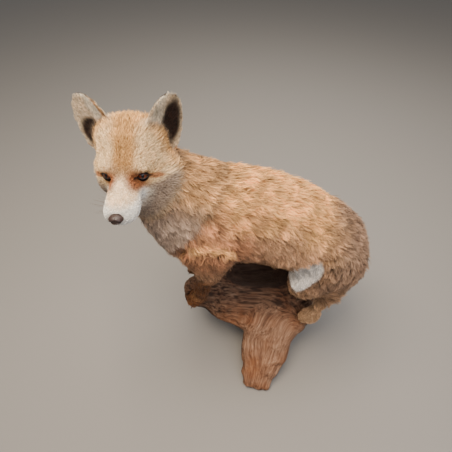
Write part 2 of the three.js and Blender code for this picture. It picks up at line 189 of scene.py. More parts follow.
def newCurve(name, bevel, resolution):
    curve = bpy.data.curves.new(name, "CURVE")
    curve.dimensions = "3D"
    curve.bevel_depth = bevel * mm
    curve.bevel_resolution = resolution
    return curve


def addStrand(curve, spots, radii=None, closed=False):
    spline = curve.splines.new("POLY")
    spline.points.add(len(spots) - 1)
    spline.use_cyclic_u = closed
    for i, spot in enumerate(spots):
        spline.points[i].co = (*spot, 1)
        if radii is not None:
            spline.points[i].radius = radii[i]


# ---- landmarks, all taken from the frame

def centreOf(node):
    low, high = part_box(node)
    return np.array((low + high) / 2)


eyeCentre = {"left": centreOf("eye_left"), "right": centreOf("eye_right")}
eyeRadius = float((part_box("eye_left")[1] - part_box("eye_left")[0])[2]) / 2
betweenEyes = (eyeCentre["left"] + eyeCentre["right"]) / 2
headLeft = unit(eyeCentre["left"] - eyeCentre["right"])
towardsNose = unit(centreOf("nose") - betweenEyes)
acrossNose = np.cross(towardsNose, headLeft)
headForward = unit(83 * towardsNose + 26.5 * acrossNose)  # the nose sits 26.5 mm under the eyes, 83 mm ahead
headUp = np.cross(headForward, headLeft)
headMiddle = betweenEyes + mm * (4 * headForward - 6.5 * headUp)


def headSpot(l, f, u):  # millimetres to the left, forward and up
    return headMiddle + mm * (l * headLeft + f * headForward + u * headUp)


def headPlace(points):
    return (points - headMiddle) / mm @ np.stack([headLeft, headForward, headUp], 1)


bodyOffset = headSpot(0, 0, 0) - mm * np.array([40, -250, 588])


def bodySpot(*p):  # the body's own millimetres, z from the floor
    return bodyOffset + mm * np.array(p, float)


def headLine(*spots):
    return [headSpot(*p) for p in spots]


def bodyLine(*spots):
    return [bodySpot(*p) for p in spots]


def bodyPlace(points):
    return (points - bodyOffset) / mm


sides = (("left", 1), ("right", -1))

# ---- camera: the frame is square and the view looks steeply down along -X

cameraSettings = {"place": (460, -90, 960), "pitch": 40.7, "turn": 90.0, "lens": 27.64}
cameraData = bpy.data.cameras.new("camera")
cameraData.lens = cameraSettings["lens"]
cameraData.sensor_width = 36
camera = newObject("camera", cameraData)
camera.location = bodySpot(*cameraSettings["place"])
camera.rotation_euler = (math.radians(cameraSettings["pitch"]), 0, math.radians(cameraSettings["turn"]))
bpy.context.scene.camera = camera

# ---- the limbs' centre lines, which give the lie of the coat and the unwrap

limbs = {
    "head": headLine((0, 86, -20), (0, 40, -14), (0, 0, 0), (0, -60, 12), (0, -112, 16)),
    "neck": headLine((2, -62, -6)) + bodyLine((-20, -185, 520), (-20, -140, 458), (-16, -90, 440)),
    "trunk": bodyLine((-18, -200, 452), (-16, -110, 448), (-14, -28, 446), (-2, 60, 418), (2, 130, 372),
                      (0, 200, 330)),
    "tail": bodyLine((-12, 176, 384), (-36, 200, 330), (-66, 204, 272), (-100, 180, 228), (-122, 114, 210),
                     (-130, 34, 210), (-124, -46, 210)),
    "foreLeft": bodyLine((34, -118, 450), (38, -126, 330), (34, -146, 240), (28, -150, 196)),
    "foreRight": bodyLine((-62, -118, 450), (-66, -122, 330), (-62, -146, 244), (-56, -152, 204)),
    "hindLeft": bodyLine((34, 140, 400), (54, 80, 304), (44, 152, 254), (64, 128, 180)),
    "hindRight": bodyLine((-30, 140, 400), (-54, 84, 300), (-52, 152, 240), (-62, 126, 194)),
    "pawForeLeft": bodyLine((24, -138, 202), (34, -186, 178)),
    "pawForeRight": bodyLine((-55, -138, 202), (-60, -192, 190)),
    "pawHindLeft": bodyLine((60, 136, 186), (78, 92, 152)),
    "pawHindRight": bodyLine((-60, 136, 192), (-66, 80, 182)),
    "earLeft": headLine((44, -52, 12), (80, -60, 124)),
    "earRight": headLine((-38, -54, 18), (-71, -60, 118)),
}
limbNames = list(limbs)
limbWay = {n: unit(p[-1] - p[0]) for n, p in limbs.items()}
nodeLimb = {name: name for name in ("head", "neck", "trunk", "tail")}
for node, limb in (("ear", "ear"), ("fore_leg", "fore"), ("hind_leg", "hind"), ("fore_paw", "pawFore"),
                   ("hind_paw", "pawHind")):
    for side, k in sides:
        nodeLimb[node + "_" + side] = limb + side.capitalize()
earOpening = {side: unit(turn * headLeft + 0.92 * headForward) for side, turn in (("left", 0.38), ("right", 0.05))}
earHalf = {"left": 33, "right": 28}


def besideLine(line, points):
    # for each piece of the line: where it starts, its length and direction, and for each point how far
    # along it lies, the nearest spot of the piece and the distance to that
    start = 0.0
    for a, b in zip(line[:-1], line[1:]):
        length = norm(b - a)
        way = (b - a) / length
        along = (points - a) @ way
        spot = a + np.clip(along, 0, length)[:, None] * way
        yield start, length, way, along, spot, norm(points - spot, axis=1)
        start += length


def alongLimb(name, points):  # share of the limb's length, nearest spot on its line, the line's own direction
    best = np.full(len(points), 1e9)
    share = np.zeros(len(points))
    centre = np.zeros((len(points), 3))
    way = np.zeros((len(points), 3))
    for start, length, step, along, spot, d in besideLine(limbs[name], points):
        way += step / np.maximum(d, 1e-4)[:, None] ** 6
        near = d < best
        best[near], share[near], centre[near] = d[near], start + np.clip(along[near], 0, length), spot[near]
    return share / (start + length), centre, unit(way)


# ---- skin: the flesh nodes become one surface, drawn in by the depth of the coat

skinSettings = {"voxel": 3.1, "swell": 1.5, "insetSteps": 6, "faceDetail": 24.0}
limbLook = {
    # settling passes over the CAD facets, coat depth, hair length and width in mm, lift, tufts per cm2
    "head": (9, 2.6, 8.5, 0.66, 22, 92),
    "neck": (45, 8, 23, 0.95, 22, 62),
    "trunk": (60, 10, 29, 1.05, 23, 84),
    "tail": (40, 13, 34, 1.35, 22, 32),
    "fore": (18, 4.5, 14, 0.9, 19, 52),
    "hind": (22, 6, 18, 1.0, 20, 56),
    "paw": (1.5, 0.2, 5.8, 0.62, 16, 84),
    "ear": (4, 0.5, 6.5, 0.65, 16, 85),
}
lookOfLimb = np.array([next(row for part, row in limbLook.items() if n.startswith(part)) for n in limbNames], float)
settleOf, depthOf, lengthOf, widthOf, liftOf, thickOf = lookOfLimb.T


def mergedCopy(node, swell=0.0):
    shape = bmesh.new()
    shape.from_mesh(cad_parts[node].data)
    bmesh.ops.remove_doubles(shape, verts=shape.verts, dist=1e-5)
    if swell:
        shape.normal_update()
        for vert in shape.verts:
            vert.co += vert.normal * swell * mm
    return shape


def joined(shapes, name):
    whole = bmesh.new()
    for shape in shapes:
        part = meshOf(shape, "part")
        whole.from_mesh(part)
        bpy.data.meshes.remove(part)
    return meshOf(whole, name)


def remeshed(mesh, voxel):
    block = newObject("block", mesh)
    modifier = block.modifiers.new("voxels", "REMESH")
    modifier.mode = "VOXEL"
    modifier.voxel_size = voxel * mm
    return evaluatedMesh(block)


def arrayOf(items, key, width=1, kind=np.int32):
    flat = np.empty(len(items) * width, kind)
    items.foreach_get(key, flat)
    return flat.reshape(-1, width) if width > 1 else flat


def verticesOf(mesh):
    return arrayOf(mesh.vertices, "co", 3, np.float32).astype(float)


def normalsOf(mesh):
    return arrayOf(mesh.vertex_normals, "vector", 3, np.float32).astype(float)


def setArray(items, key, values, kind=np.float32):
    items.foreach_set(key, np.asarray(values, kind).ravel())


def setVertices(mesh, points):
    setArray(mesh.vertices, "co", points)
    mesh.update()


class Neighbours:
    def __init__(self, mesh):
        self.a, self.b = arrayOf(mesh.edges, "vertices", 2).T
        self.count = len(mesh.vertices)
        self.degree = np.maximum(np.bincount(np.concatenate([self.a, self.b]), minlength=self.count), 1)

    def mean(self, values):
        out = np.empty_like(values)
        for c in range(values.shape[1]):
            out[:, c] = (np.bincount(self.a, values[self.b, c], self.count)
                         + np.bincount(self.b, values[self.a, c], self.count)) / self.degree
        return out

    def relaxed(self, values, weight, passes=1):
        for _ in range(passes):
            values = values + weight * (self.mean(values) - values)
        return values


def keepLargest(mesh):
    shape = bmesh.new()
    shape.from_mesh(mesh)
    left, parts = set(shape.verts), []
    while left:
        part = [left.pop()]
        for vert in part:  # the list grows while it is walked
            fresh = {edge.other_vert(vert) for edge in vert.link_edges} & left
            left -= fresh
            part += fresh
        parts.append(part)
    parts.sort(key=len)
    bmesh.ops.delete(shape, geom=[vert for part in parts[:-1] for vert in part], context="VERTS")
    shape.to_mesh(mesh)
    shape.free()
    return len(parts)


fleshNodes = list(nodeLimb)
swollen = [mergedCopy(n, skinSettings["swell"]) for n in fleshNodes]
skinMesh = remeshed(joined(swollen, "skin"), skinSettings["voxel"])
print("skin remeshed:", len(skinMesh.vertices), "vertices,", keepLargest(skinMesh), "shells")

# finer faces round the eyes, the lips and the nose
shape = bmesh.new()
shape.from_mesh(skinMesh)
reach = skinSettings["faceDetail"] * mm
near = {v for v in shape.verts
        if min((v.co - Vector(spot)).length for spot in eyeCentre.values()) < reach
        or headForward @ np.array(v.co - Vector(betweenEyes)) > 8 * mm}
edges = [e for e in shape.edges if near.issuperset(e.verts)]
bmesh.ops.subdivide_edges(shape, edges=edges, cuts=1, use_grid_fill=True)
bmesh.ops.triangulate(shape, faces=[f for f in shape.faces if len(f.verts) > 4])
shape.to_mesh(skinMesh)
shape.free()

# which limb each point of skin belongs to
flesh = bmesh.new()
faceLimb = []
for node in fleshNodes:
    flesh.from_mesh(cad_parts[node].data)
    faceLimb += [limbNames.index(nodeLimb[node])] * (len(flesh.faces) - len(faceLimb))
fleshTree = BVHTree.FromBMesh(flesh)
flesh.free()
skinPoints = verticesOf(skinMesh)
skinLimb = np.array([faceLimb[fleshTree.find_nearest(Vector(p))[2]] for p in skinPoints])
ring = Neighbours(skinMesh)
limbShare = ring.relaxed(np.eye(len(limbNames))[skinLimb], 0.5, 10)
limbPart = {n: limbShare[:, i] for i, n in enumerate(limbNames)}

# settle the facets
settle = ring.relaxed(settleOf[skinLimb][:, None], 0.5, 10)
headAt = headPlace(skinPoints)
for i in range(int(settle.max())):
    skinPoints = ring.relaxed(skinPoints, 0.6 * np.clip(settle - i, 0, 1))

# draw the skin in
muzzle = smooth(-5, 20, headAt[:, 1]) * limbPart["head"]
depth = limbShare @ depthOf * (1 - 0.45 * muzzle) + skinSettings["swell"] * 0.6
# the lower hind legs are drawn in less, and keep their thickness
depth -= 3.5 * (limbPart["hindLeft"] + limbPart["hindRight"]) * smooth(262, 240, skinPoints[:, 2] / mm)
for i in range(skinSettings["insetSteps"]):
    setVertices(skinMesh, skinPoints)
    skinPoints -= normalsOf(skinMesh) * (depth / skinSettings["insetSteps"] * mm)[:, None]
    skinPoints = ring.relaxed(skinPoints, 0.35 * np.clip(settle / 12, 0.1, 1))

# ---- eyelids: the skin closes over each ball round an almond opening

lidSettings = {"half": 68.0, "top": 18.0, "bottom": 27.0, "bow": 1.7, "tilt": -6.0, "lid": 1.5, "reach": 15.5,
               "brow": 2.2, "corner": 3.0}
eyeAxes = {}
for side, k in sides:
    out = unit(0.32 * k * headLeft + 0.92 * headForward + 0.18 * headUp)
    inner = unit(np.cross(out, headUp)) * k  # towards the corner by the nose
    up = unit(np.cross(inner, out)) * k
    tilt = math.radians(lidSettings["tilt"])
    inner, up = inner * math.cos(tilt) - up * math.sin(tilt), up * math.cos(tilt) + inner * math.sin(tilt)
    eyeAxes[side] = (out, inner, up)


def lidGap(side, directions):
    out, inner, up = eyeAxes[side]
    a = np.degrees(np.arctan2(directions @ inner, directions @ out))
    b = np.degrees(np.arctan2(directions @ up, np.hypot(directions @ out, directions @ inner)))
    tall = np.where(b > 0, lidSettings["top"], lidSettings["bottom"])
    return np.abs(b) - tall * (1 - np.clip(np.abs(a) / lidSettings["half"], 0, 1.6) ** lidSettings["bow"])


def onEye(side, points):  # millimetres towards the nose, up and ahead of an eye
    out, inner, up = eyeAxes[side]
    return ((points - eyeCentre[side]) / mm @ np.stack([inner, up, out], 1)).T


def eyeDistance(points):
    return np.minimum(*[norm(points - c, axis=1) for c in eyeCentre.values()]) / mm


eyeGap = np.full(len(skinPoints), 1e3)
for side, k in sides:
    out, inner, up = eyeAxes[side]
    away = skinPoints - eyeCentre[side]
    r = norm(away, axis=1)
    way = away / np.maximum(r, 1e-9)[:, None]
    facing = way @ out
    gapHere = lidGap(side, way)
    lid = eyeRadius + lidSettings["lid"] * mm
    blendOut = smooth(lidSettings["reach"] * mm, lid + 0.5 * mm, r)
    covered = np.where(gapHere > 0, np.maximum(r, lid), eyeRadius - 1.2 * mm * smooth(0, -9, gapHere) - 0.2 * mm)
    change = (r < lidSettings["reach"] * mm) & (facing > -0.15)
    target = np.where(change, r + (covered - r) * np.maximum(blendOut, (gapHere < 0) * 1.0), r)
    a, b, _ = onEye(side, skinPoints)
    brow = np.exp(-oval(a, b, (1, 9.5), (13, 4)) ** 2) * (facing > 0) * (r < 22 * mm)
    corner = np.exp(-oval(a, b, (14, -1), (5.5, 8)) ** 2) * (facing > 0) * (r < 24 * mm)
    skinPoints = (eyeCentre[side] + way * target[:, None]
                  + (out + 0.2 * up) * (lidSettings["brow"] * mm * brow)[:, None]
                  - headUp * (lidSettings["corner"] * mm * corner)[:, None])
    eyeGap = np.where(change, np.minimum(eyeGap, gapHere), eyeGap)

# ---- mouth: a shallow groove between the lips

mouthSettings = {"depth": 1.6, "width": 2.2}
mouthLines = [headLine((0, 76, -27), (k * 8, 71, -30), (k * 16, 58, -34), (k * 20, 38, -36), (k * 27, 14, -35),
                       (k * 33, 2, -31)) for _, k in sides]


def mouthDistance(points):
    return np.min([d for line in mouthLines for *_, d in besideLine(line, points)], 0) / mm


setVertices(skinMesh, skinPoints)
groove = mouthSettings["depth"] * np.exp(-(mouthDistance(skinPoints) / mouthSettings["width"]) ** 2)
skinPoints -= normalsOf(skinMesh) * (groove * mm)[:, None]
setVertices(skinMesh, skinPoints)
skinNormals = normalsOf(skinMesh)
headAt = headPlace(skinPoints)
bodyAt = bodyPlace(skinPoints)
print("skin shaped")

# ---- lie of the coat

flow = np.zeros_like(skinPoints)
down = np.array([0, 0, -1.0])
for name in limbNames:
    _, centre, way = alongLimb(name, skinPoints)
    if name == "head":
        l, f, u = headAt.T
        way = -headForward + 0.30 * headUp * smooth(-5, 25, u)[:, None] - 0.45 * headUp * smooth(0, -30, u)[:, None]
        way += headLeft * (0.5 * np.sign(l) * smooth(8, 34, np.abs(l)))[:, None]
    elif name == "neck":
        way += 0.45 * down
    elif name == "trunk":
        front = smooth(-130, -190, bodyAt[:, 1])[:, None]
        flank = smooth(0.75, 0.15, np.abs(skinNormals[:, 2]))
        way += down * (0.25 + 1.0 * flank + 0.8 * flank * smooth(-20, -110, bodyAt[:, 1]))[:, None]
        way = way * (1 - front) + down * front
    elif name.startswith(("fore", "hind")):
        way += np.array([0, 0.35, 0])
    elif name.startswith("ear"):
        opening = earOpening[name[3:].lower()]
        away = unit(skinPoints - centre)
        way += 0.35 * (away - (away @ opening)[:, None] * opening)
    flow += limbPart[name][:, None] * unit(way)


def onSkin(ways, normals):
    return unit(ways - (ways * normals).sum(1, keepdims=True) * normals)


for _ in range(14):
    flow = onSkin(0.45 * flow + 0.55 * ring.mean(flow), skinNormals)

# ---- atlas: each limb is unrolled round its centre line into a tile of its own

tileRows = [  # the low and the high edge of a row, and the width of each tile in it
    (0.52, 1.00, {"trunk": 0.48, "neck": 0.26, "head": 0.26}),
    (0.26, 0.52, {"tail": 0.24, "hindLeft": 0.19, "hindRight": 0.19, "foreLeft": 0.19, "foreRight": 0.19}),
    (0.00, 0.26, {"earLeft": 0.28, "earRight": 0.28, "pawForeLeft": 0.11, "pawForeRight": 0.11,
                  "pawHindLeft": 0.11, "pawHindRight": 0.11}),
]
tiles = {}
for low, high, widths in tileRows:
    left = 0.0
    for name, width in widths.items():
        tiles[name] = (left, low, left + width, high)
        left += width


def unrolled(points, normals, limbOf):
    around, length = np.zeros((2, len(points)))
    for i, name in enumerate(limbNames):
        own = limbOf == i
        if not own.any():
            continue
        share, centre, way = alongLimb(name, points[own])
        away = points[own] - centre
        start = unit(np.cross(way, headLeft if name == "head" else np.array([1.0, 0.02, 0.03])))
        a = np.arctan2((away * np.cross(way, start)).sum(1), (away * start).sum(1)) / (2 * math.pi) + 0.5
        if name.startswith("ear"):  # the inside and the back of an ear lie side by side
            opening = earOpening[name[3:].lower()]
            across = unit(np.cross(opening, way))
            inside = (normals[own] @ opening) > 0
            a = 0.25 + 0.22 * np.clip((away * across).sum(1) / (40 * mm), -1, 1) + 0.5 * inside
        around[own], length[own] = a, share
    return around, length


def tilePlace(around, length, limbOf):
    left, low, right, high = np.array([tiles[n] for n in limbNames])[limbOf].T
    return np.stack([left + (right - left) * (0.05 + 0.88 * around), low + (high - low) * (0.03 + 0.94 * length)], 1)


# ---- markings, shared by the skin and the tufts over it

coatColours = {  # at the root and at the tip
    "back": "#8a5a30 #eeb877", "flank": "#563825 #cc9f78", "shoulder": "#54311d #c98f66", "rump": "#4c382a #9f7f65",
    # the neck and throat pairs are darker than the fur itself, in part a painted shadow under the head
    "belly": "#4c3323 #8f6b4b", "neck": "#43352b #7d6857", "nape": "#7e5634 #d0a16d", "throat": "#786353 #cfb299",
    "foreLeg": "#3f2615 #7a4c28", "hindLeg": "#69492f #b88f69", "hindFoot": "#8f6b4b #d2a97f",
    "white": "#e2d7ca #fdf5ea", "tail": "#5f4435 #a5866a", "tailTip": "#b9aea2 #e9e3da",
    "forehead": "#8a5c30 #deaa68", "temple": "#cba066 #ffe6b8", "muzzleTop": "#e4b986 #ffeac8",
    "muzzleSide": "#e6dccd #fffcf2", "eyeRing": "#5a2a10 #ad5f28", "brow": "#7a5230 #c39458",
    # the cheek pair is partly painted shade, for the grey shade under the head and beside the muzzle
    "cheek": "#6a5546 #b09a84", "lip": "#1c120e #2a1b15", "earBack": "#2b1d16 #5a4030",
    "earInside": "#1c120d #3e2a20", "earRim": "#b39878 #f0dcba", "earHair": "#c8b899 #f6ecd6",
}
coatPairs = {n: np.array([linearOf(c) for c in pair.split()]) for n, pair in coatColours.items()}


kneePatch = {"at": (80, 65, 362), "size": (54, 58, 29), "axes": unit([[1, 0, 0], [0, 0.42, 0.9], [0, 0.9, -0.42]])}


def kneeAway(points):  # 1 at the edge of the pale patch on the near knee
    return norm((bodyPlace(points) - kneePatch["at"]) @ kneePatch["axes"].T / kneePatch["size"], axis=1)


def markings(points, normals, share):
    l, f, u = headPlace(points).T
    x, y, z = bodyPlace(points).T
    nx, ny, nz = normals.T
    limb = {n: share[:, i] for i, n in enumerate(limbNames)}
    colour = np.zeros((len(points), 2, 3))

    def lay(name, weight):
        nonlocal colour
        w = np.clip(weight, 0, 1)[:, None, None]
        colour = colour * (1 - w) + coatPairs[name] * w

    wander = waves(points, 0.06, 11)
    lay("flank", np.ones(len(points)))
    lay("shoulder", smooth(10, -90, y + 14 * wander) * smooth(330, 400, z))
    lay("back", smooth(0.25, 0.8, nz + 0.14 * wander) * smooth(180, 60, y))
    lay("rump", smooth(70, 140, y + 16 * wander))
    lay("belly", smooth(0.05, -0.55, nz + 0.1 * wander) * smooth(460, 400, z))
    inNeck = limb["neck"]
    # painted shadow: the neck is coloured darker for the shade under the head
    lay("neck", inNeck * 0.9)
    lay("nape", inNeck * smooth(0.15, 0.7, nz - 0.2 * ny + 0.1 * wander))
    # the throat's grey-brown is partly painted shadow under the head
    lay("throat", (inNeck + limb["head"] * smooth(-50, -80, f)) * smooth(0.15, 0.75, -ny + 0.55 * nx + 0.1 * wander)
        * smooth(400, 440, z))
    lay("throat", limb["trunk"] * smooth(0.2, 0.8, -ny) * smooth(-140, -180, y))
    for own in ("Left", "Right"):
        lay("foreLeg", limb["fore" + own] * smooth(365, 300, z + 12 * wander))
        lay("hindLeg", limb["hind" + own] * smooth(330, 280, z))
        lay("hindFoot", limb["hind" + own] * smooth(262, 235, z) + limb["pawHind" + own])
        lay("foreLeg", limb["pawFore" + own])
    lay("white", smooth(1.12, 0.9, kneeAway(points) + 0.05 * wander) * (nx > -0.2))
    lay("tail", limb["tail"])
    lay("tailTip", limb["tail"] * smooth(-2, -26, y + 5 * wander) * (x < -80))
    # head
    inHead = limb["head"]
    lay("forehead", inHead * smooth(-95, -60, f))
    lay("temple", inHead * smooth(7, 26, np.abs(l) + 5 * wander) * smooth(4, 16, u) * smooth(-60, -26, f) * 0.7)
    lay("temple", inHead * smooth(14, 2, u) * smooth(-50, -22, f) * smooth(13, 21, np.abs(l)) * 0.85)
    # painted shade: the cheek's grey-brown stands partly for shade beside the muzzle and under the head
    lay("cheek", inHead * smooth(-2, -13, u + 3 * wander) * smooth(12, 0, f))
    lay("cheek", inHead * smooth(-36, -62, f) * smooth(20, 0, u) * 0.85)
    lay("muzzleTop", inHead * smooth(6, 30, f + 4 * wander) * smooth(-24, -10, u))
    lay("muzzleSide", inHead * smooth(-2, 14, f) * smooth(-8, -20, u - 0.10 * f))
    lay("muzzleSide", inHead * smooth(20, 28, np.abs(l)) * smooth(4, 14, f) * smooth(-2, -12, u) * smooth(44, 30, f))
    ringed = eyeDistance(points)
    for side, k in sides:
        a, b, _ = onEye(side, points)
        own = inHead * (l * k > 0)
        lay("eyeRing", own * smooth(1.3, 0.5, oval(a, b, (9, -5), (19, 16)) + 0.1 * wander) * 0.92)
        lay("eyeRing", own * smooth(1.3, 0.7, oval(a, b - 0.2 * (a + 12), (-19, -1), (14, 4.2))) * 0.8)
    above = inHead * smooth(0, 10, u)
    lay("brow", above * smooth(12, 3, np.abs(l)) * smooth(36, 12, f + 0.5 * u) * smooth(-34, -8, f) * 0.5)
    for at in (-3.5, 4):  # painted shade: two darker lines stand for frown creases between the eyes
        line = smooth(2.6, 0.6, np.abs(l - at + 2 * wander))
        lay("brow", above * line * smooth(24, 12, f) * smooth(-26, -6, f) * 0.6)
    lay("lip", inHead * smooth(2.4, 1.0, mouthDistance(points)) * smooth(-6, 4, f) * 0.85)
    lay("lip", inHead * smooth(13.4, 12.0, ringed))
    for side, k in sides:  # dark skin at both corners of the eye and a shadow line under the brow
        a, b, ahead = onEye(side, points)
        near = inHead * (ahead > 0) * (ringed < 24)
        for name, amount, start, spot, size in (
                ("lip", 0.85, 1.3, (12, -1.5), (6, 2.6)), ("lip", 0.7, 1.3, (-11.5, -0.5), (4, 2.2)),
                ("earBack", 0.6, 1.4, (2, 6.5), (11, 2.2))):
            lay(name, near * smooth(start, 0.7, oval(a, b, spot, size)) * amount)
    for side, k in sides:
        ear = "ear" + side.capitalize()
        inEar = limb[ear]
        along, centre, _ = alongLimb(ear, points)
        across = unit(np.cross(earOpening[side], limbWay[ear]))
        across = across * np.sign(across @ (-k * headLeft))  # towards the middle of the head
        reach = earHalf[side] * (1.1 - 0.35 * along) * np.sqrt(np.clip(1 - along ** 6, 0.1, 1))
        over = (points - centre) @ across / mm / reach
        inside = smooth(0.0, 0.35, normals @ earOpening[side])
        lay("nape", inEar * (1 - inside))
        lay("earBack", inEar * (1 - inside) * smooth(0.3, 0.6, along) * smooth(1.0, 0.8, np.abs(over)))
        lay("earRim", inEar * inside)
        at, tall = (0.47, 0.36) if k > 0 else (0.34, 0.26)
        hollow = oval(over, along, (-0.28, at), (0.56, tall))
        lay("earInside", inEar * inside * smooth(1.15, 0.75, hollow + 0.12 * wander))
        lay("earHair", inEar * inside * smooth(0.05, 0.4, over + 0.08 * wander) * smooth(0.95, 0.6, over))
        lay("earRim", inEar * smooth(0.74, 0.92, np.abs(over) + 0.3 * smooth(0.78, 0.98, along)))
        lay("nape", inEar * inside * smooth(0.62, 0.86, over) * (k < 0))
    spots = waves(points, 0.045, 23) * (1 - inHead)
    shade = 1 + (0.26 * np.clip(spots, -1, 1) + 0.22 * waves(points, 0.020, 29)) * (1 - 0.6 * inHead)
    return colour * shade[:, None, None]


skinColour = markings(skinPoints, skinNormals, limbShare)
print("markings laid")


def colourLayer(mesh, colours):
    layer = mesh.color_attributes.new("coat", "FLOAT_COLOR", "POINT")
    setArray(layer.data, "color", np.concatenate([colours, np.ones((len(colours), 1))], 1))


# ---- materials of the animal

def makeHide():  # tanned hide under the hair: dull, and darker than the coat over it
    material, tree = newMaterial("tannedHide")
    colour = addNode(tree, "VertexColor", {"layer_name": "coat"})
    grain = noiseOf(tree, {"Scale": 700.0, "Detail": 3.0}, placeOf(tree))
    return finished(material, {"Roughness": 0.85, "Specular IOR Level": 0.2},
                    {"Base Color": colour, "Normal": bumpOf(tree, grain, 0.5, 0.0006)})


# dry guard hair: soft sheen along each lock, paler at the tips
furMaterial, tree = newMaterial("guardHair")
fur = finished(furMaterial, {"Roughness": 0.62, "Specular IOR Level": 0.25, "Sheen Weight": 0.08,
                             "Sheen Roughness": 0.5},
               {"Base Color": addNode(tree, "VertexColor", {"layer_name": "coat"})})
colourLayer(skinMesh, skinColour[:, 0] * 0.75 + skinColour[:, 1] * 0.15)

# the skin's own unwrap, tile by tile
corners = arrayOf(skinMesh.loops, "vertex_index")
faceStarts = arrayOf(skinMesh.polygons, "loop_start")
faceOf = np.repeat(np.arange(len(faceStarts)), arrayOf(skinMesh.polygons, "loop_total"))
faceLimbs = skinLimb[corners[faceStarts]][faceOf]
around, length = unrolled(skinPoints[corners], skinNormals[corners], faceLimbs)
base = around[faceStarts][faceOf]
around = np.where(around - base > 0.5, around - 1, np.where(around - base < -0.5, around + 1, around))
setArray(skinMesh.uv_layers.new(name="OFBake").data, "uv", tilePlace(np.clip(around, -0.05, 1.07), length, faceLimbs))
newPiece("skin", skinMesh, makeHide(), fleshNodes)

# ---- coat

skinMesh.calc_loop_triangles()
triangles = arrayOf(skinMesh.loop_triangles, "vertices", 3)
a, b, c = (skinPoints[triangles[:, i]] for i in range(3))
triangleArea = norm(np.cross(b - a, c - a), axis=1) / 2 * 1e4  # cm2
triangleSpot = (a + b + c) / 3
triangleLimb = skinLimb[triangles[:, 0]]
triangleGap = eyeGap[triangles].min(1)

coatSettings = {
    "clumpPull": 0.74, "roll": 0.8, "limit": 39500, "sink": 0.8,
    "ribs": np.array([0.0, 0.36, 0.72, 1.0]),  # rings along a tuft, the last one its tip
    "ribWidths": np.array([0.75, 1.0, 0.62]),
    "tipBlend": [0.0, 0.42, 0.85, 1.0],  # how far each ring has gone from the root's colour to the tip's
    # painted shade: each ring's colour is darkened towards the root, where the coat over it shades it, and made a
    # little paler at the tip
    "ribPaintedShade": [0.42, 0.83, 1.02, 1.10],
}


def fieldLengths():
    _, f, u = headAt.T
    x, y, z = bodyAt.T
    length, width, lift, thick = (limbShare @ column for column in (lengthOf, widthOf, liftOf, thickOf))
    inHead, inTrunk = limbPart["head"], limbPart["trunk"]
    face = smooth(-30, 10, f) * inHead
    length *= (1 - 0.50 * face) * (1 - 0.25 * smooth(10, 60, f) * inHead)
    length *= 1 - inHead * 0.72 * smooth(24, 12, eyeDistance(skinPoints))
    width *= 1 - 0.18 * face
    thick *= 1 + 0.4 * face
    knee = kneeAway(skinPoints)
    hock = smooth(100, 130, y) * smooth(310, 280, z) * smooth(225, 250, z) * (x > 20)
    for weight, longer, higher in (  # cheek, crown, hock, the pale knee patch
            (inHead * smooth(-10, -45, f) * smooth(30, -10, u), 1.5, 8),
            (inHead * smooth(-28, -60, f) * smooth(15, 45, u), 1.1, 15),
            (hock, 0.8, 24 * smooth(0.1, -0.4, skinNormals[:, 1])),
            (smooth(1.5, 1.0, knee), -0.6, -8)):
        length *= 1 + longer * weight
        lift += higher * weight
    length *= 1 + 0.15 * inTrunk * smooth(-0.2, -0.8, skinNormals[:, 2])
    length *= 1 + 0.25 * smooth(110, 170, y) * smooth(420, 330, z) * (inTrunk > 0.3)
    # the coat of the trunk runs on over the tops of the legs
    legs = sum(limbPart[n] for n in limbNames if n.startswith(("fore", "hind")))
    top = legs * smooth(325, 385, z) * smooth(1.0, 1.5, knee)
    return [field + top * (trunk - field) for field, trunk in ((length, 23), (width, 1.05), (lift, 22), (thick, 78))]


hairLength, hairWidth, hairLift, hairThick = fieldLengths()


